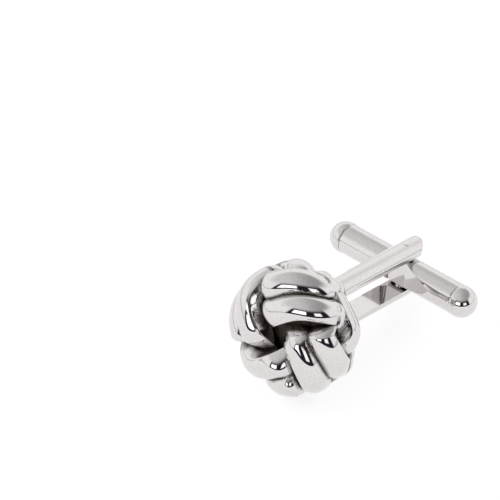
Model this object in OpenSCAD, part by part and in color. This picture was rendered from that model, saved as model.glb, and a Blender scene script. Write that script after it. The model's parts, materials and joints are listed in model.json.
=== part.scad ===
// Knot cufflink with a swivel toggle back, lying on its side as it rests by itself.
// The modules are drawn in the cufflink's own axes, with the middle of the knot at 0, the
// fitting going back along +Y and the pivot pin along Z. lay_down() turns each piece into
// the resting pose, with the surface at Z = 0 and +Z up.

/* [Knot head] */
// Diameter of the knot across its ridges
head_d = 14.7; // [12:0.1:17]
// Thickness of the knot from its front to its back
head_t = 8.9; // [8:0.1:11]
// Width of one rounded ridge, two of which make a strand
ridge_w = 2.86; // [2.3:0.02:3]
// Height of a ridge above the edges of its strand
ridge_h = 0.85; // [0.6:0.05:1.1]
// Depth of the strand's foot below the form that it is woven on
strand_t = 1.08; // [0.8:0.02:1.1]
// How far a strand dips where it passes under the next at the front
dip_front = 2; // [1.4:0.05:2.4]
// How far a strand dips where it passes under the next at the rim
dip_rim = 1.95; // [1.4:0.05:2.4]

/* [Yoke] */
// Distance from the middle of the knot to the pivot pin
pin_y = 19; // [17:0.1:22]
// Distance from the middle of the knot to the yoke's bridge
bridge_y = 5.2; // [5.15:0.05:6]
// Thickness of the bridge
bridge_t = 1.1; // [0.8:0.05:1.6]
// Width of an arm
arm_w = 2.6; // [2.2:0.05:3.2]
// Gap between the flat inner faces of the two arms
arm_gap = 3.6; // [3.58:0.01:4.2]
// Thickness of an arm at its crown
arm_t = 1.4; // [1:0.05:1.6]
// Height of an arm's straight sides, below the crown
arm_side = 0.5; // [0.3:0.05:0.8]
// How far an arm reaches past the middle of the pin
arm_over = 2.1; // [1.4:0.05:2.6]

/* [Pivot pin] */
// Diameter of the pin
pin_d = 1.2; // [1:0.05:1.6]

/* [Toggle] */
// Length of the toggle over both noses
toggle_l = 20; // [17:0.1:23]
// Diameter of the toggle's bar
toggle_d = 3.4; // [3.2:0.05:3.5]
// Diameter of the bullet noses at their base
nose_d = 3.5; // [3.3:0.02:3.56]
// Thickness of the tongue that is left between the two milled recesses
tongue_t = 1.9; // [1.7:0.05:2.4]
// Half the width of the tongue's flat middle
tongue_flat = 1.1; // [0.9:0.05:1.4]
// Far end of a recess from the pin, along the toggle
recess_far = 6; // [4.5:0.1:6.2]
// Near end of a recess from the pin, along the toggle
recess_near = 3.7; // [3:0.1:4.5]

/* [Hidden] */
$fn = 48;

// How the cufflink lies: the slope of the post down towards the toggle, and its roll
rest_pitch = 11.1;
rest_roll = -0.89;
rest_lift = 7.203;
// How far the toggle is turned on its pin from square across the post
toggle_turn = -4;
rest_shift = [0, -8.38];

gap = 0.02;
pin_clear = 0.05;

module lay_down() {
    translate([rest_shift[0], rest_shift[1], rest_lift])
        rotate([-rest_pitch, 0, 0])
            rotate([0, rest_roll, 0])
                children();
}

// The weave: a closed strand that goes three times round the head and waves four times
// between its front and its back. It is made as one quarter and three turned copies. The
// start of a quarter is a little slimmer and reaches into the end of the one before, and
// both lie hidden at the rim, where the strand passes under itself.
bights = 4;
leads = 3;
wave_rate = bights / leads;
quarter_turn = 360 / wave_rate;
quarter_start = 98;
splice = 8;
splice_slimming = 0.02;
weave_turn = -21.2;
wave_mid = -8.8;
wave_lat = 51.7;
wave_second = [10.7, 3.4];
wave_third = [-1.7, -4];
rise_mid = 0.32;
rise_first = [0.36, 0.24];
rim_rise = 0.9;
dip_front_at = -40;
dip_rim_at = 131;
bulge = 0.45;
bulge_at = 256;
bend_sharp = 9;
squareness = 3;
knot_back = 0.78;
edge_drop = 0.18;
ring_step = 5;
ridge_steps = 5;
ridges = 2;
strand_w = ridges * ridge_w;
form_r = head_d / 2 - ridge_h - rim_rise;
form_t = head_t / 2 - ridge_h - rise_mid;

function rounded_power(v) = sign(v) * pow(abs(v), 2 / squareness);
// A point of the puck-shaped form under the weave, at an azimuth and a latitude
function form_point(az, lat) = [
    form_r * rounded_power(cos(lat)) * sin(az),
    -form_t * rounded_power(sin(lat)),
    form_r * rounded_power(cos(lat)) * cos(az)
];
function unit(v) = v / norm(v);
function form_normal(az, lat) = unit(cross(
    form_point(az, lat + 1) - form_point(az, lat - 1),
    form_point(az + 1, lat) - form_point(az - 1, lat)
));
function wave_at(az) = let (t = wave_rate * az)
    wave_mid + wave_lat * cos(t) + wave_second[0] * cos(2 * t) + wave_second[1] * sin(2 * t)
    + wave_third[0] * cos(3 * t) + wave_third[1] * sin(3 * t);
// In each wave the strand dips at the front and at the rim, and bulges where it comes back
function bend(t, at, high) = high * exp(bend_sharp * (cos(t - at) - 1));
function rise_at(az) = let (t = wave_rate * az)
    rise_mid + rise_first[0] * cos(t) + rise_first[1] * sin(t)
    - bend(t, dip_front_at, dip_front) - bend(t, dip_rim_at, dip_rim) + bend(t, bulge_at, bulge);
function weave_point(az) = form_point(az, wave_at(az));

// The top of the strand's section is two arcs side by side. Its foot is flat and narrower, and
// it keeps one depth below the form, or just clears the ridges where the strand dips.
ridge_r = (pow(ridge_w / 2, 2) + pow(ridge_h, 2)) / (2 * ridge_h);
ridge_turn = asin(ridge_w / 2 / ridge_r);
section = [for (i = [0:ridges - 1], k = [0:ridge_steps - (i == ridges - 1 ? 0 : 1)])
    let (
        turn = ridge_turn * (2 * k / ridge_steps - 1),
        across = (i + 0.5) * ridge_w - strand_w / 2 + ridge_r * sin(turn)
    )
    [across, ridge_r * cos(turn) - ridge_r + ridge_h - edge_drop * pow(across / ridge_w, 2)]];
foot_w = 0.78;
foot_least = 0.5;

function strand_ring(az) =
    let (
        slim = 1 - splice_slimming * max(quarter_start + splice - az, 0) / splice,
        out = form_normal(az, wave_at(az)),
        side = unit(cross(weave_point(az + 0.5) - weave_point(az - 0.5), out)),
        middle = weave_point(az) + rise_at(az) * out,
        foot = [foot_w * ridge_w, -max(strand_t + rise_at(az), foot_least)]
    )
    [for (p = concat(section, [foot, [-foot[0], foot[1]]])) middle + slim * (p[0] * side + p[1] * out)];

// The seat at the back of the knot, on which the yoke's bridge is soldered
seat_w = 2.4;
seat_l = 6;
seat_y = 1.5;

module strand_quarter() {
    count = round((quarter_turn + splice) / ring_step);
    size = len(section) + 2;
    step = (quarter_turn + splice) / count;
    points = [for (i = [0:count]) each strand_ring(quarter_start - splice + i * step)];
    skin = [for (i = [0:count - 1], k = [0:size - 1])
        [i * size + k, (i + 1) * size + k, (i + 1) * size + (k + 1) % size, i * size + (k + 1) % size]];
    caps = [[for (k = [0:size - 1]) k], [for (k = [size - 1:-1:0]) count * size + k]];
    polyhedron(points, concat(skin, caps), convexity = 8);
}

module knot() {
    color("silver") lay_down()
        resize([head_d, 0, head_d]) {
            for (i = [0:bights - 1])
                translate([0, knot_back, 0]) rotate([0, i * 360 / bights + weave_turn, 0]) strand_quarter();
            translate([-seat_w / 2, seat_y, -seat_l / 2]) cube([seat_w, bridge_y - gap - seat_y, seat_l]);
        }
}

module arm_profile() {
    crown = arm_t - arm_side;
    crown_r = (pow(arm_w / 2, 2) + pow(crown, 2)) / (2 * crown);
    span = arm_gap + 2 * arm_t;
    square([arm_w, arm_gap + 2 * arm_side], center = true);
    intersection() {
        square([arm_w, span], center = true);
        union() {
            translate([0, span / 2 - crown_r]) circle(crown_r);
            translate([0, crown_r - span / 2]) circle(crown_r);
        }
    }
}

module yoke() {
    span = arm_gap + 2 * arm_t;
    length = pin_y + arm_over - bridge_y;
    color("silver") lay_down() difference() {
        intersection() {
            translate([0, bridge_y + length, 0]) rotate([90, 0, 0]) linear_extrude(length) arm_profile();
            translate([0, 0, -span / 2]) linear_extrude(span) {
                translate([-arm_w / 2, bridge_y]) square([arm_w, length - arm_w / 2]);
                translate([0, pin_y + arm_over - arm_w / 2]) circle(arm_w / 2);
            }
        }
        translate([-arm_w, bridge_y + bridge_t, -arm_gap / 2]) cube([2 * arm_w, length, arm_gap]);
        translate([0, pin_y, -span]) cylinder(h = 2 * span, d = pin_d + 2 * gap);
    }
}

module pivot_pin() {
    span = arm_gap + 2 * arm_t;
    color("gainsboro") lay_down() translate([0, pin_y, 0]) intersection() {
        translate([0, 0, -span / 2]) cylinder(h = span, d = pin_d);
        translate([0, pin_d, 0]) rotate([90, 0, 0]) linear_extrude(2 * pin_d) arm_profile();
    }
}

nose_r = nose_d / 2;
nose_straight = 0.45;
bar_l = toggle_l - 2 * (nose_r + nose_straight);
recess_depth = (toggle_d - tongue_t) / 2;
function taper_r(reach) = (pow(reach - tongue_flat, 2) + pow(recess_depth, 2)) / (2 * recess_depth);

// What is milled from one face of the bar: deepest at the tongue, and running out of the
// bar in a long taper on one side and a short one on the other
module recess() {
    translate([0, 0, -toggle_d]) linear_extrude(2 * toggle_d) difference() {
        translate([-recess_near, -toggle_d]) square([recess_near + recess_far, toggle_d - tongue_t / 2]);
        for (reach = [recess_far, -recess_near])
            translate([reach, taper_r(abs(reach)) - toggle_d / 2]) circle(taper_r(abs(reach)), $fn = 180);
    }
}

module on_pin() {
    lay_down() translate([0, pin_y, 0]) rotate([0, 0, toggle_turn]) children();
}

module toggle_bar() {
    color("silver") on_pin() difference() {
        translate([-bar_l / 2, 0, 0]) rotate([0, 90, 0]) cylinder(h = bar_l, d = toggle_d);
        recess();
        rotate([0, 0, 180]) recess();
        translate([0, 0, -toggle_d]) cylinder(h = 2 * toggle_d, d = pin_d + 2 * pin_clear);
    }
}

module nose() {
    translate([bar_l / 2 + gap, 0, 0]) rotate([0, 90, 0]) cylinder(h = nose_straight - gap, r = nose_r);
    translate([bar_l / 2 + nose_straight, 0, 0]) intersection() {
        sphere(nose_r);
        translate([0, -nose_r, -nose_r]) cube(2 * nose_r);
    }
}

module toggle_nose_left() {
    color("gainsboro") on_pin() mirror([1, 0, 0]) nose();
}

module toggle_nose_right() {
    color("gainsboro") on_pin() nose();
}

knot();
yoke();
pivot_pin();
toggle_bar();
toggle_nose_left();
toggle_nose_right();
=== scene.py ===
import json

import bmesh
import bpy
import numpy as np
from mathutils import Matrix
from mathutils.bvhtree import BVHTree


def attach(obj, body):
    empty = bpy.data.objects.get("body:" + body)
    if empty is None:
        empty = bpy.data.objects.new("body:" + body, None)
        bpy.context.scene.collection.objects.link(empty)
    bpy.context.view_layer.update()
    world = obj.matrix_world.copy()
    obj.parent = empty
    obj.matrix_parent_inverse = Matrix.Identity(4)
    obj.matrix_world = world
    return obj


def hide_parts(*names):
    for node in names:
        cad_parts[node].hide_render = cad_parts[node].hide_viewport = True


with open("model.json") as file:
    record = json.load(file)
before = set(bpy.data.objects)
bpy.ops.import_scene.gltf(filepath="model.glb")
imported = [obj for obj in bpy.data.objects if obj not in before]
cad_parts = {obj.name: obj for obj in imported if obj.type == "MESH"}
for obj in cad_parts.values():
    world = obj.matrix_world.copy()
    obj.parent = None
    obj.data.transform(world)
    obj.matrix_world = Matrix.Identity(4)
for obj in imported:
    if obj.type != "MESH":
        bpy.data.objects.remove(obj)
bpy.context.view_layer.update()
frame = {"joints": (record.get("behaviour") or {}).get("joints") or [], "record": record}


# The knot head. The real one is a woven knot of one closed strand with two rounded ridges,
# cast in brass as a single piece, polished on every ridge that a wheel can reach and plated
# bright. It is soldered to the post by the flat seat at its back.

MM = 0.001
HEAD_TO_PIN = 19.0
FORM_RADIUS = 5.55
FORM_DEEP = 3.27
SQUARENESS = 3.0
KNOT_BACK = 0.78
RIDGE_WIDE = 2.86
RIDGE_HIGH = 0.85
FOOT_DEEP = 1.5
FOOT_LEAST = 0.4
FOOT_WIDE = 0.84
CORE_DEEP = 1.3
EDGE_DROP = 0.18
BIGHTS = 4
LEADS = 3
WAVE_MIDDLE = -8.8
WAVE_LATITUDE = 51.7
WAVE_SECOND = (10.7, 3.4)
WAVE_THIRD = (-1.7, -4.0)
RISE_MIDDLE = 0.32
RISE_FIRST = (0.36, 0.24)
DIP_AT = (-47, 128)
DIP_DEEP = (2.0, 1.95)
DIP_HALF = (27, 31)
DIP_SKEW = (5, 0)
BULGE_AT = 256
BULGE_HIGH = 0.45
BULGE_SHARP = 9
WEAVE_TURN = -21.2
STRAND_RINGS = 1440
GROOVE_SOFT = 0.05
CREVICE_RAYS = 12
CREVICE_REACH = 3.6
CREVICE_START = 0.01
CREVICE_SHARE = (0.28, 0.50)
SEAT_WIDE = 2.4
SEAT_LONG = 6.0
SEAT_FROM = 1.5
BRIDGE_FROM = 5.2
BRIDGE_GAP = 0.02
EDGE_BREAK = 0.12
MERGE_WITHIN = 0.002
SLIVER = 0.001

swivel = frame["joints"][0]
pin_place = np.array(swivel["pos_m"])
pin_axis = np.array(swivel["axis"])
pin_axis = pin_axis / np.linalg.norm(pin_axis)
post_axis = np.array(frame["record"]["mounts"][0]["axis"])
post_axis = post_axis - pin_axis * (post_axis @ pin_axis)
post_axis = post_axis / np.linalg.norm(post_axis)
cufflink_axes = np.stack([np.cross(post_axis, pin_axis), post_axis, pin_axis])
head_place = pin_place - post_axis * HEAD_TO_PIN * MM


def laid(points):
    """Points in the cufflink's own axes, in mm from the middle of the knot: x along the toggle,
    y back along the post and z along the pin. They come out in the frame, in metres."""
    return head_place + (np.asarray(points) * MM) @ cufflink_axes


def surface(name, points, wrap_rows=False, wrap_columns=False):
    """A mesh from a grid of points: each row is joined to the next by quads, and a direction
    that wraps has its last line joined to its first."""
    rows, columns = points.shape[:2]
    r = np.arange(rows if wrap_rows else rows - 1)[:, None]
    c = np.arange(columns if wrap_columns else columns - 1)[None, :]
    r_next, c_next = (r + 1) % rows, (c + 1) % columns
    quads = np.stack([r * columns + c, r_next * columns + c,
                      r_next * columns + c_next, r * columns + c_next], axis=-1).reshape(-1, 4)
    mesh = bpy.data.meshes.new(name)
    mesh.vertices.add(rows * columns)
    mesh.vertices.foreach_set("co", laid(points.reshape(-1, 3)).ravel())
    mesh.loops.add(quads.size)
    mesh.loops.foreach_set("vertex_index", quads.ravel())
    mesh.polygons.add(len(quads))
    mesh.polygons.foreach_set("loop_start", np.arange(0, quads.size, 4))
    mesh.update(calc_edges=True)
    mesh.shade_smooth()
    piece = bpy.data.objects.new(name, mesh)
    bpy.context.scene.collection.objects.link(piece)
    return piece


def rounded_power(v):
    """Sine or cosine bent towards a square: its sign times its size to the power 2 over the
    squareness, which turns a circle into a superellipse."""
    return np.sign(v) * np.abs(v) ** (2 / SQUARENESS)


def puck(azimuth, latitude):
    """The form under the weave, a superellipsoid: round from the front and a puck from the
    side. Azimuth runs clockwise seen from the front, and latitude rises towards the front."""
    around, rise = np.radians(azimuth), np.radians(latitude)
    radius = FORM_RADIUS * rounded_power(np.cos(rise))
    front = FORM_DEEP * rounded_power(np.sin(rise))
    return np.stack([radius * np.sin(around), -front, radius * np.cos(around)], axis=-1)


def unit(v):
    """Vectors made one unit long."""
    return v / np.linalg.norm(v, axis=-1, keepdims=True)


def puck_normal(azimuth, latitude):
    """The outward normal of the puck: the cross product of its slopes either way."""
    return unit(np.cross(puck(azimuth, latitude + 1) - puck(azimuth, latitude - 1),
                         puck(azimuth + 1, latitude) - puck(azimuth - 1, latitude)))


def wave(azimuth):
    """The strand's latitude: a cosine with four waves in three turns, and two overtones."""
    t = np.radians(azimuth * BIGHTS / LEADS)
    return (WAVE_MIDDLE + WAVE_LATITUDE * np.cos(t)
            + WAVE_SECOND[0] * np.cos(2 * t) + WAVE_SECOND[1] * np.sin(2 * t)
            + WAVE_THIRD[0] * np.cos(3 * t) + WAVE_THIRD[1] * np.sin(3 * t))


def rise(azimuth, across):
    """How high the strand runs over the puck: a gentle first wave, with two dips in each wave
    where the strand passes under itself and a bulge where it comes back over the rim. A dip has
    a flat bottom, is half as deep at DIP_HALF from its middle and lies askew across the strand,
    as the edge above it does; the bulge fades as e to the power BULGE_SHARP times (cosine - 1)."""
    t = np.radians(azimuth * BIGHTS / LEADS)
    height = RISE_MIDDLE + RISE_FIRST[0] * np.cos(t) + RISE_FIRST[1] * np.sin(t)
    for at, deep, half, skew in zip(DIP_AT, DIP_DEEP, DIP_HALF, DIP_SKEW):
        away = (1 - np.cos(t - np.radians(at + skew * across))) / (1 - np.cos(np.radians(half)))
        height = height - deep * np.exp2(-away ** 2)
    return height + BULGE_HIGH * np.exp(BULGE_SHARP * (np.cos(t - np.radians(BULGE_AT)) - 1))


def strand_section():
    """The strand's outline, as across, up and share: two circular arcs side by side with a
    softened groove between them, then down the sides to a narrower flat foot. The share is how
    far a point has gone down from the edge of its ridge to the foot, 0 to 1."""
    arc = (RIDGE_WIDE ** 2 / 4 + RIDGE_HIGH ** 2) / (2 * RIDGE_HIGH)
    turn = np.arcsin(RIDGE_WIDE / 2 / arc) * np.sin(np.linspace(-np.pi / 2, np.pi / 2, 21))
    ridge = np.stack([arc * np.sin(turn), arc * np.cos(turn) - arc + RIDGE_HIGH], axis=-1)
    ridge[:, 1] = np.hypot(ridge[:, 1], GROOVE_SOFT)
    right = ridge + [RIDGE_WIDE / 2, 0]
    right[:, 1] -= EDGE_DROP * (right[:, 0] / RIDGE_WIDE) ** 2
    top = np.concatenate([right[::-1] * [-1, 1], right[1:]])
    share = np.linspace(0, 1, 5)[1:]
    across = RIDGE_WIDE * (1 - (1 - FOOT_WIDE) * share)
    side = np.stack([across, np.full(4, right[-1, 1]), share], axis=-1)
    base = side[-1] * [1, 1, 1] * np.stack([np.linspace(1, -1, 5)[1:-1], np.ones(3), np.ones(3)], axis=-1)
    return np.concatenate([np.insert(top, 2, 0, axis=1), side, base, side[::-1] * [-1, 1, 1]])


def knot_points():
    """The section carried along the strand's middle line: at each ring, up is the puck's normal
    and across is square to it and to the way that the weave runs over the puck. The foot keeps
    one depth below the puck, or just clears the ridges where the strand dips."""
    azimuth = np.linspace(0, 360 * LEADS, STRAND_RINGS, endpoint=False)
    along = unit(puck(azimuth + 0.5, wave(azimuth + 0.5)) - puck(azimuth - 0.5, wave(azimuth - 0.5)))
    up = puck_normal(azimuth, wave(azimuth))
    side = unit(np.cross(along, up))
    across, high, share = strand_section().T
    lift = rise(azimuth[:, None], across[None])
    foot = np.minimum(-FOOT_DEEP, lift - FOOT_LEAST)
    high = (high + lift) * (1 - share) + foot * share
    middle = puck(azimuth, wave(azimuth))[:, None]
    points = middle + side[:, None] * across[None, :, None] + up[:, None] * high[..., None]
    turn = np.radians(WEAVE_TURN)
    spin = np.array([[np.cos(turn), 0, -np.sin(turn)], [0, 1, 0], [np.sin(turn), 0, np.cos(turn)]])
    return points @ spin + [0, KNOT_BACK, 0]


def finish_mesh(piece, angle, bevel=0.0):
    """Merges doubled points, turns the faces outwards, shades smooth up to an angle in degrees
    and rounds the sharper edges."""
    shell = bmesh.new()
    shell.from_mesh(piece.data)
    bmesh.ops.remove_doubles(shell, verts=shell.verts, dist=MERGE_WITHIN * MM)
    bmesh.ops.dissolve_degenerate(shell, edges=shell.edges, dist=SLIVER * MM)
    bmesh.ops.recalc_face_normals(shell, faces=shell.faces)
    shell.to_mesh(piece.data)
    shell.free()
    piece.data.shade_smooth()
    piece.data.set_sharp_from_angle(angle=np.radians(angle))
    if bevel:
        edges = piece.modifiers.new("broken_edges", "BEVEL")
        edges.width = bevel * MM
        edges.segments = 3
        edges.limit_method = "ANGLE"
        edges.angle_limit = np.radians(angle)
        edges.harden_normals = True


# An occlusion mask: it paints shade into the plate's colour where the strands shut a point in, and roughens the
# plate there.
def unpolished_and_painted_shade(piece):
    """How far each point of a mesh lies in a crevice, 0 in the open to 1 when it is shut in. Of
    the rays spread over the half sphere about its normal, it is the share that meet the mesh
    within CREVICE_REACH, where near ones count for more, stretched between CREVICE_SHARE. Rays
    also find a strand across a gap, which isn't a neighbour in the mesh."""
    mesh = piece.data
    count = len(mesh.vertices)
    place, normal = np.empty(count * 3), np.empty(count * 3)
    mesh.vertices.foreach_get("co", place)
    mesh.vertex_normals.foreach_get("vector", normal)
    place, normal = place.reshape(-1, 3), normal.reshape(-1, 3)
    askew = (0.31, 0.52, 0.79)
    side = unit(np.cross(normal, askew))
    turn = np.arange(CREVICE_RAYS) * np.pi * (3 - np.sqrt(5))
    tilt = np.sqrt((np.arange(CREVICE_RAYS) + 0.5) / CREVICE_RAYS)
    rays = (side[:, None] * (tilt * np.cos(turn))[None, :, None]
            + np.cross(normal, side)[:, None] * (tilt * np.sin(turn))[None, :, None]
            + normal[:, None] * np.sqrt(1 - tilt ** 2)[None, :, None])
    shell = BVHTree.FromPolygons(place.tolist(), [tuple(face.vertices) for face in mesh.polygons])
    reach = CREVICE_REACH * MM
    starts = (place + normal * CREVICE_START * MM).tolist()
    shut = np.zeros(count)
    for i, (start, fan) in enumerate(zip(starts, rays.tolist())):
        for ray in fan:
            away = shell.ray_cast(start, ray, reach)[3]
            if away is not None:
                shut[i] += 1 - (away / reach) ** 2
    low, high = CREVICE_SHARE
    return np.clip((shut / CREVICE_RAYS - low) / (high - low), 0, 1)


def block(low, high):
    """The six faces of a box between two corners, as a closed grid: a ring of four corners at
    the bottom, one at the top, and both ends drawn together in their middles."""
    (x0, y0, z0), (x1, y1, z1) = low, high
    ring = np.array([(x0, z0), (x1, z0), (x1, z1), (x0, z1)], float)
    middle = np.repeat(ring.mean(0)[None], 4, axis=0)
    rows = [np.insert(r, 1, y, axis=1) for r, y in ((middle, y0), (ring, y0), (ring, y1), (middle, y1))]
    return np.stack(rows)


def core_points():
    """The solid middle of the casting between the strands: the puck's shape, smaller."""
    latitude, around = np.radians(np.linspace(-90, 90, 61))[:, None], np.radians(np.arange(0, 360, 4))[None]
    radius = (FORM_RADIUS - CORE_DEEP) * rounded_power(np.cos(latitude))
    back = (FORM_DEEP - CORE_DEEP) * rounded_power(np.sin(latitude)) + 0 * around
    return np.stack([radius * np.sin(around), back + KNOT_BACK, radius * np.cos(around)], axis=-1)


knot_grid = knot_points()
knot = surface("woven_knot", knot_grid, wrap_rows=True, wrap_columns=True)
finish_mesh(knot, 180)
# Painted shade for the knot: the mask darkens and browns the plate's colour in the crevices, and makes the plate
# rough there as unpolished cast metal.
mask = knot.data.attributes.new("unpolished_and_painted_shade", "FLOAT", "POINT")
mask.data.foreach_set("value", unpolished_and_painted_shade(knot))
core = surface("knot_core", core_points(), wrap_columns=True)
finish_mesh(core, 180)
# Painted shade for the core: its mask is 1 all over, so the whole core takes the crevice's near black brown colour
# and roughness.
mask = core.data.attributes.new("unpolished_and_painted_shade", "FLOAT", "POINT")
mask.data.foreach_set("value", np.ones(len(core.data.vertices)))
seat = surface("knot_seat", block((-SEAT_WIDE / 2, SEAT_FROM, -SEAT_LONG / 2),
                                  (SEAT_WIDE / 2, BRIDGE_FROM - BRIDGE_GAP, SEAT_LONG / 2)), wrap_columns=True)
finish_mesh(seat, 30, EDGE_BREAK)


def linear(code):
    """An sRGB hex colour turned to the linear values that a shader takes."""
    v = np.array([int(code[i:i + 2], 16) for i in (1, 3, 5)]) / 255
    return (*np.where(v <= 0.04045, v / 12.92, ((v + 0.055) / 1.055) ** 2.4).tolist(), 1.0)


def add(tree, kind, settings=None, links=None, **values):
    """Adds one node to a tree: settings are its own properties, values are its inputs by name
    with _ for a space, and links gives the output socket that feeds an input."""
    node = tree.nodes.new(kind)
    for key, value in (settings or {}).items():
        setattr(node, key, value)
    for key, value in values.items():
        node.inputs[key.replace("_", " ")].default_value = value
    for key, output in (links or {}).items():
        tree.links.new(output, node.inputs[key])
    return node


# The sizes of the plate's patterns in mm: waves of the polishing wheel, dull specks and the pits
# of the casting. Specks and scratches are finer on the real piece, and are drawn coarse enough
# to show.
WHEEL_WAVE = 1.7
SPECK = 0.16
PIT = 0.32


def rhodium_plate(name, grain, stretch, roughness, cast=False):
    """Bright rhodium plate over polished brass: a near mirror, a little cool and a little dark
    for a white metal. Broad soft waves are what the polishing wheel leaves, and the fine grain
    is its scratches, stretched along the way that the piece was worked, with specks where the
    plate is a little dull, which keep the broad reflections from being dead even. On the
    casting the deep places are left unpolished, rougher and with coarse pits that glint, and
    shade is painted into them: their colour is darkened to a near black brown, mottled by the pits."""
    material = bpy.data.materials.new(name)
    material.use_nodes = True
    tree = material.node_tree
    shader = tree.nodes["Principled BSDF"]
    shader.inputs["Metallic"].default_value = 1.0
    place = add(tree, "ShaderNodeTexCoord").outputs["Object"]
    waves = add(tree, "ShaderNodeTexNoise", links={"Vector": place}, Scale=1 / (WHEEL_WAVE * MM), Detail=1.0)
    along = add(tree, "ShaderNodeMapping", links={"Vector": place}, Rotation=POST_TURN, Scale=stretch)
    scratches = add(tree, "ShaderNodeTexNoise", links={"Vector": along.outputs["Vector"]},
                    Scale=1 / (grain * MM), Detail=4.0, Roughness=0.6)
    soft = add(tree, "ShaderNodeBump", links={"Height": waves.outputs["Fac"]}, Strength=0.10, Distance=0.05 * MM)
    fine = add(tree, "ShaderNodeBump", links={"Height": scratches.outputs["Fac"], "Normal": soft.outputs["Normal"]},
               Strength=0.12, Distance=0.004 * MM)
    specks = add(tree, "ShaderNodeTexNoise", links={"Vector": place}, Scale=1 / (SPECK * MM), Detail=3.0,
                 Roughness=0.7)
    dulled = add(tree, "ShaderNodeMapRange", links={"Value": specks.outputs["Fac"]}, From_Min=0.42, From_Max=0.80)
    bright = add(tree, "ShaderNodeMix", {"data_type": "RGBA"}, {"Factor": dulled.outputs["Result"]})
    bright.inputs["A"].default_value, bright.inputs["B"].default_value = linear("#dddada"), linear("#c9c4c3")
    if cast:
        # Painted shade: where the mask is high the plate's colour goes to a near black brown, mottled lighter and
        # warmer by the pits; the roughness rises there too for the unpolished metal.
        depth = add(tree, "ShaderNodeAttribute", {"attribute_name": "unpolished_and_painted_shade"}).outputs["Fac"]
        pits = add(tree, "ShaderNodeTexNoise", links={"Vector": place}, Scale=1 / (PIT * MM), Detail=5.0,
                   Roughness=0.65)
        painted_shade_tone = add(tree, "ShaderNodeMix", {"data_type": "RGBA"}, {"Factor": pits.outputs["Fac"]})
        painted_shade_tone.inputs["A"].default_value, painted_shade_tone.inputs["B"].default_value = linear("#14110f"), linear("#6e635a")
        colour = add(tree, "ShaderNodeMix", {"data_type": "RGBA"}, {"Factor": depth})
        tree.links.new(bright.outputs["Result"], colour.inputs["A"])
        tree.links.new(painted_shade_tone.outputs["Result"], colour.inputs["B"])
        tree.links.new(colour.outputs["Result"], shader.inputs["Base Color"])
        rough = add(tree, "ShaderNodeMapRange", links={"Value": depth}, To_Min=0.0, To_Max=0.30)
        handled = add(tree, "ShaderNodeMath", {"operation": "ADD"}, {0: rough.outputs["Result"]})
        handled.inputs[1].default_value = roughness
        deep = add(tree, "ShaderNodeMath", {"operation": "MULTIPLY"}, {0: pits.outputs["Fac"], 1: depth})
        fine = add(tree, "ShaderNodeBump", links={"Height": deep.outputs["Value"], "Normal": fine.outputs["Normal"]},
                   Strength=0.8, Distance=0.12 * MM)
    else:
        handled = add(tree, "ShaderNodeMapRange", links={"Value": scratches.outputs["Fac"]},
                      From_Min=0.35, From_Max=0.75, To_Min=roughness, To_Max=roughness * 1.9)
        tree.links.new(bright.outputs["Result"], shader.inputs["Base Color"])
    tree.links.new(handled.outputs[0], shader.inputs["Roughness"])
    tree.links.new(fine.outputs["Normal"], shader.inputs["Normal"])
    return material


POST_TURN = tuple(Matrix(cufflink_axes.tolist()).to_euler())
cast_plate = rhodium_plate("bright_rhodium_plate_on_cast_brass", 0.12, (1, 1, 1), 0.05, cast=True)
for piece in (knot, core, seat):
    piece.data.materials.append(cast_plate)
    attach(piece, "post")
    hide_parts("knot")


# The yoke. The real one is a milled brass fork: a bridge soldered to the seat, and two arms
# that are flat inside and crowned outside, with rounded ends. It is polished and plated.

ARM_WIDE = 2.6
ARM_GAP = 3.6
ARM_THICK = 1.4
ARM_SIDE = 0.5
ARM_OVER = 2.1
BRIDGE_THICK = 1.1
ARM_INSIDE = ARM_GAP / 2
ARM_OUTSIDE = ARM_INSIDE + ARM_THICK
CROWN_HIGH = ARM_THICK - ARM_SIDE
CROWN_RADIUS = (ARM_WIDE ** 2 / 4 + CROWN_HIGH ** 2) / (2 * CROWN_HIGH)


def crown(x):
    """Height of an arm's crowned outside over the cufflink's middle plane, at x across the arm:
    a circle that starts from the straight sides."""
    return ARM_OUTSIDE - CROWN_RADIUS + np.sqrt(CROWN_RADIUS ** 2 - np.asarray(x) ** 2)


def arm_ring(half, foot_y, crown_y, up):
    """One section of an arm, as a ring of points: the flat inside, a side, the crown and the
    other side. The inside lies at foot_y along the post and the crown at crown_y."""
    x = half * np.sin(np.linspace(-np.pi / 2, np.pi / 2, 25))
    ring = [(-half, foot_y, ARM_INSIDE)]
    ring += [(v, crown_y, crown(v)) for v in x]
    ring += [(half, foot_y, ARM_INSIDE)]
    ring += [(v, foot_y, ARM_INSIDE) for v in np.linspace(half, -half, 7)[1:-1]]
    return np.array(ring) * [1, 1, up]


def yoke_points():
    """Sections from the end of one arm, along it to the bridge, over the bridge and out to the
    end of the other. The end is a half circle seen from above: half width is its cosine."""
    end = HEAD_TO_PIN + ARM_OVER - ARM_WIDE / 2
    turn = np.radians(np.linspace(90, 0, 13))
    arm = [(ARM_WIDE / 2 * np.cos(t) + 1e-6, end + ARM_WIDE / 2 * np.sin(t)) for t in turn]
    arm += [(ARM_WIDE / 2, y) for y in np.linspace(end, BRIDGE_FROM + BRIDGE_THICK, 14)[1:]]
    rings = [arm_ring(half, y, y, -1) for half, y in arm[:-1]]
    rings.append(arm_ring(ARM_WIDE / 2, BRIDGE_FROM + BRIDGE_THICK, BRIDGE_FROM, -1))
    return np.stack(rings + [ring * [1, 1, -1] for ring in rings[::-1]])


yoke = surface("forked_post", yoke_points(), wrap_columns=True)
finish_mesh(yoke, 40, EDGE_BREAK)
milled_plate = rhodium_plate("bright_rhodium_plate_on_milled_brass", 0.10, (1, 0.08, 1), 0.06)
yoke.data.materials.append(milled_plate)
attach(yoke, "post")
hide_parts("yoke")


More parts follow.
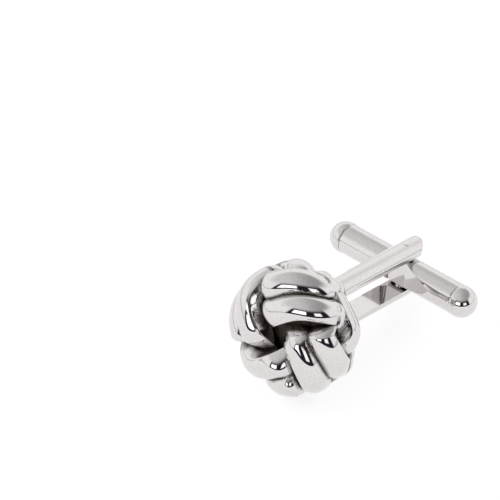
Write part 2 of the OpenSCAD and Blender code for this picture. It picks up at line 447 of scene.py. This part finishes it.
# The pivot pin. The real one is a brass wire, riveted through both arms, filed flush with
# their crowns and polished, so that only a hairline ring shows round each end.

PIN_RADIUS = 0.6
PIN_PROUD = 0.03


def pin_points():
    """Rings from the middle of the lower end, out over it, up the side and in over the upper
    end. Each end follows the arm's crown, and falls off by a hair at its rim."""
    radii = np.array([0.0, 0.2, 0.4, 0.52, 0.57, PIN_RADIUS])
    fall = np.array([0.0, 0.0, 0.0, 0.0, 0.012, 0.06])
    around = np.radians(np.arange(0, 360, 7.5))
    x, y = radii[:, None] * np.sin(around), radii[:, None] * np.cos(around)
    end = np.stack([x, HEAD_TO_PIN + y, crown(x) + PIN_PROUD - fall[:, None]], axis=-1)
    return np.concatenate([end * [1, 1, -1], end[::-1]])


pin = surface("riveted_pin", pin_points(), wrap_columns=True)
finish_mesh(pin, 40)
filed_plate = rhodium_plate("polished_pin_end", 0.08, (1, 1, 1), 0.08)
pin.data.materials.append(filed_plate)
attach(pin, "post")
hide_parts("pivot_pin")


# The toggle. The real one is a turned brass bar, milled from two faces to a thin tongue that
# swivels between the arms, with a bullet nose pressed on each end. It is polished and plated.

TOGGLE_LONG = 20.0
BAR_RADIUS = 1.7
BAR_CHAMFER_LONG = 0.1
BAR_CHAMFER_DEEP = 0.09
NOSE_RADIUS = 1.75
NOSE_STRAIGHT = 0.45
NOSE_RIM = ((0.02, 0.1), (0.06, 0.03), (0.13, 0.0))
TONGUE_THICK = 1.9
TONGUE_FLAT = 1.1
TAPER_FAR = 6.0
TAPER_NEAR = 3.7
TOGGLE_TURN = np.radians(-4.0)
BAR_END = TOGGLE_LONG / 2 - NOSE_RADIUS - NOSE_STRAIGHT
CUT_DEEP = BAR_RADIUS - TONGUE_THICK / 2


def on_pin(points):
    """Points of the toggle, x along it, turned to where it rests on the pin."""
    c, s = np.cos(TOGGLE_TURN), np.sin(TOGGLE_TURN)
    return points @ np.array([[c, s, 0], [-s, c, 0], [0, 0, 1]]) + [0, HEAD_TO_PIN, 0]


def cut(x):
    """How deep the cutter goes into one face at x along the bar: full depth at the tongue, then
    an arc that leaves the bar after a long way on one side of the pin and a short on the other."""
    reach = np.where(x > 0, TAPER_FAR, TAPER_NEAR)
    radius = ((reach - TONGUE_FLAT) ** 2 + CUT_DEEP ** 2) / (2 * CUT_DEEP)
    run = np.clip(reach - np.abs(x), 0, reach - TONGUE_FLAT)
    return radius - np.sqrt(radius ** 2 - run ** 2)


def bar_points():
    """Sections along the bar, each a circle cut off flat on two sides: flat, arc, flat, arc. The
    ends have a small chamfer and are closed to a point."""
    full = BAR_END - BAR_CHAMFER_LONG
    inner = BAR_END - 2 * BAR_CHAMFER_LONG
    x = np.concatenate([[-BAR_END, -BAR_END, -full], np.linspace(-inner, inner, 157), [full, BAR_END, BAR_END]])
    radius = np.full(len(x), BAR_RADIUS)
    radius[[1, -2]] -= BAR_CHAMFER_DEEP
    radius[[0, -1]] = 0.0
    low, high = -(BAR_RADIUS - cut(x)), BAR_RADIUS - cut(-x)
    low, high = np.maximum(low, -radius), np.minimum(high, radius)
    step, half = np.linspace(0, 1, 17), np.linspace(-1, 1, 9)[:-1]
    rings = []
    for at, r, a, b in zip(x, radius, low, high):
        start, stop = np.arcsin([a / r, b / r]) if r else (-np.pi / 2, np.pi / 2)
        turn = start + (stop - start) * step[:-1]
        arc = np.stack([r * np.sin(turn), r * np.cos(turn)], axis=-1)
        back = (start + (stop - start) * step[:0:-1])
        arc_back = np.stack([r * np.sin(back), -r * np.cos(back)], axis=-1)
        flat_a = np.stack([np.full(8, a), half * np.sqrt(max(r * r - a * a, 0))], axis=-1)
        flat_b = np.stack([np.full(8, b), -half * np.sqrt(max(r * r - b * b, 0))], axis=-1)
        ring = np.concatenate([flat_a, arc, flat_b, arc_back])
        rings.append(np.insert(ring, 0, at, axis=1))
    return np.stack(rings)


def nose_points(side):
    """A bullet nose turned round the bar's axis: a small chamfer, a straight part and a half
    sphere, closed at the base. Each point of NOSE_RIM is how far on from the bar's end and how
    far in from the nose's radius the chamfer lies. side is 1 or -1."""
    turn = np.radians(np.linspace(0, 90, 25))
    profile = [(NOSE_RIM[0][0], 0.0)]
    profile += [(along, NOSE_RADIUS - inward) for along, inward in NOSE_RIM]
    profile += [(NOSE_STRAIGHT + NOSE_RADIUS * np.sin(t), NOSE_RADIUS * np.cos(t)) for t in turn]
    profile = np.array(profile)
    around = np.radians(np.arange(0, 360, 5))
    x = np.repeat(side * (BAR_END + profile[:, :1]), len(around), axis=1)
    return np.stack([x, profile[:, 1:] * np.cos(around), profile[:, 1:] * np.sin(around)], axis=-1)


bar = surface("milled_bar", on_pin(bar_points()), wrap_columns=True)
finish_mesh(bar, 25)
bar.data.materials.append(milled_plate)
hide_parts("toggle_bar")
turned_plate = rhodium_plate("bright_rhodium_plate_on_turned_brass", 0.10, (0.3, 1, 1), 0.055)
noses = {1: "toggle_nose_right", -1: "toggle_nose_left"}
toggle = [bar]
for side, part in noses.items():
    nose = surface("bullet_nose_" + part.rsplit("_", 1)[1], on_pin(nose_points(side)), wrap_columns=True)
    finish_mesh(nose, 50)
    nose.data.materials.append(turned_plate)
    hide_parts(part)
    toggle.append(nose)
for piece in toggle:
    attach(piece, "toggle")


# The table: a sheet of opal glass that is lit from below, so that it shows as pure white and
# keeps only a faint shadow where the cufflink touches it.

TABLE_WIDE = 4.0
TABLE_GLOW = 0.70
bpy.ops.mesh.primitive_plane_add(size=TABLE_WIDE)
table = bpy.context.object
table.name = "light_table"
opal = bpy.data.materials.new("opal_glass_lit_from_below")
opal.use_nodes = True
opal_shader = opal.node_tree.nodes["Principled BSDF"]
opal_shader.inputs["Base Color"].default_value = (0.5, 0.5, 0.5, 1.0)
opal_shader.inputs["Roughness"].default_value = 0.9
opal_shader.inputs["Emission Color"].default_value = linear("#ffffff")
opal_shader.inputs["Emission Strength"].default_value = TABLE_GLOW
table.data.materials.append(opal)


# The camera: it stands where the photographer's stood, above and to the right of the knot.

CAMERA_AZIMUTH = np.radians(39.63)
CAMERA_ELEVATION = np.radians(39.14)
CAMERA_AWAY = 0.5427
CAMERA_AIM = (-17.31 * MM, 14.08 * MM)
CAMERA_LENS = 362.66
camera = bpy.data.objects.new("camera", bpy.data.cameras.new("camera"))
bpy.context.scene.collection.objects.link(camera)
camera.data.lens = CAMERA_LENS
camera.data.sensor_width = 36.0
back = np.array([np.sin(CAMERA_AZIMUTH) * np.cos(CAMERA_ELEVATION),
                 -np.cos(CAMERA_AZIMUTH) * np.cos(CAMERA_ELEVATION), np.sin(CAMERA_ELEVATION)])
aim = np.array([head_place[0] + CAMERA_AIM[0], head_place[1] + CAMERA_AIM[1], 0.0])
camera.location = aim + back * CAMERA_AWAY
camera.rotation_euler = (np.pi / 2 - CAMERA_ELEVATION, 0, CAMERA_AZIMUTH)
bpy.context.scene.camera = camera
bpy.context.scene.view_settings.view_transform = "Standard"


# The light: a white tent with glowing walls and a dimmer top. It is open on the camera's side,
# where a dark room shows with two bright lamps in it, down to the table. Heights are sines of
# the elevation, and turns are in degrees, from the camera's side towards its right.

OPENING = (-54, 56)
LAMPS = (((-44, -11), (0.15, 0.47), 1.9), ((13, 34), (0.15, 0.42), 1.4))
WALL_LIGHT = 1.1
FOOT_HEIGHT = 0.07
FOOT_LIGHT = 0.55
TOP_HEIGHT = (0.44, 0.74)
TOP_LIGHT = (0.80, 0.42)
TOP_ACROSS = (-0.6, 0.6)
OPENING_SOFT = 4
LAMP_SOFT = (2, 0.015)
FOOT_SOFT = 0.05
CLUTTER = 5.0
ROOM_TONES = ((0.40, "#1a2030"), (0.62, "#32281f"))

world = bpy.data.worlds.new("light_tent")
bpy.context.scene.world = world
world.use_nodes = True
tree = world.node_tree


def step(value, low, high):
    """Goes smoothly from 0 to 1 while the value goes from low to high."""
    return add(tree, "ShaderNodeMapRange", {"interpolation_type": "SMOOTHSTEP"}, {"Value": value},
               From_Min=low, From_Max=high).outputs["Result"]


def product(a, b):
    """Two masks multiplied."""
    return add(tree, "ShaderNodeMath", {"operation": "MULTIPLY"}, {0: a, 1: b}).outputs["Value"]


def between(value, low, high, soft):
    """1 where the value lies between low and high, with soft edges."""
    return product(step(value, low - soft, low + soft), step(value, high + soft, high - soft))


def cover(under, light, mask):
    """A light laid over what lies behind it, where its mask is 1. The light is a number for a
    neutral one, or another node's output."""
    mix = add(tree, "ShaderNodeMix", {"data_type": "RGBA"}, {"Factor": mask})
    tree.links.new(under, mix.inputs["A"])
    if isinstance(light, float):
        mix.inputs["B"].default_value = (light, light, light, 1.0)
    else:
        tree.links.new(light, mix.inputs["B"])
    return mix.outputs["Result"]


view = add(tree, "ShaderNodeTexCoord").outputs["Generated"]
turned = add(tree, "ShaderNodeMapping", links={"Vector": view}, Rotation=(0, 0, CAMERA_AZIMUTH), Scale=(1, -1, 1))
split = add(tree, "ShaderNodeSeparateXYZ", links={"Vector": turned.outputs["Vector"]})
height = split.outputs["Z"]
turn = add(tree, "ShaderNodeMath", {"operation": "ARCTAN2"}, {0: split.outputs["X"], 1: split.outputs["Y"]})
turn = add(tree, "ShaderNodeMath", {"operation": "DEGREES"}, {0: turn.outputs["Value"]}).outputs["Value"]
clutter = add(tree, "ShaderNodeTexNoise", links={"Vector": view}, Scale=CLUTTER, Detail=1.0)
room = add(tree, "ShaderNodeValToRGB", links={"Fac": clutter.outputs["Fac"]})
for stop, (at, colour) in zip(room.color_ramp.elements, ROOM_TONES):
    stop.position, stop.color = at, linear(colour)
wall = add(tree, "ShaderNodeRGB")
wall.outputs["Color"].default_value = (WALL_LIGHT, WALL_LIGHT, WALL_LIGHT, 1.0)
light = cover(wall.outputs["Color"], FOOT_LIGHT, step(height, FOOT_HEIGHT + FOOT_SOFT, 0.0))
light = cover(light, room.outputs["Color"], between(turn, *OPENING, OPENING_SOFT))
for turns, heights, lamp in LAMPS:
    mask = product(between(turn, *turns, LAMP_SOFT[0]), between(height, *heights, LAMP_SOFT[1]))
    light = cover(light, lamp, mask)
top = add(tree, "ShaderNodeMapRange", {"interpolation_type": "SMOOTHSTEP"}, {"Value": split.outputs["X"]},
          From_Min=TOP_ACROSS[0], From_Max=TOP_ACROSS[1], To_Min=TOP_LIGHT[0], To_Max=TOP_LIGHT[1])
light = cover(light, top.outputs["Result"], step(height, *TOP_HEIGHT))
tree.links.new(light, tree.nodes["Background"].inputs["Color"])
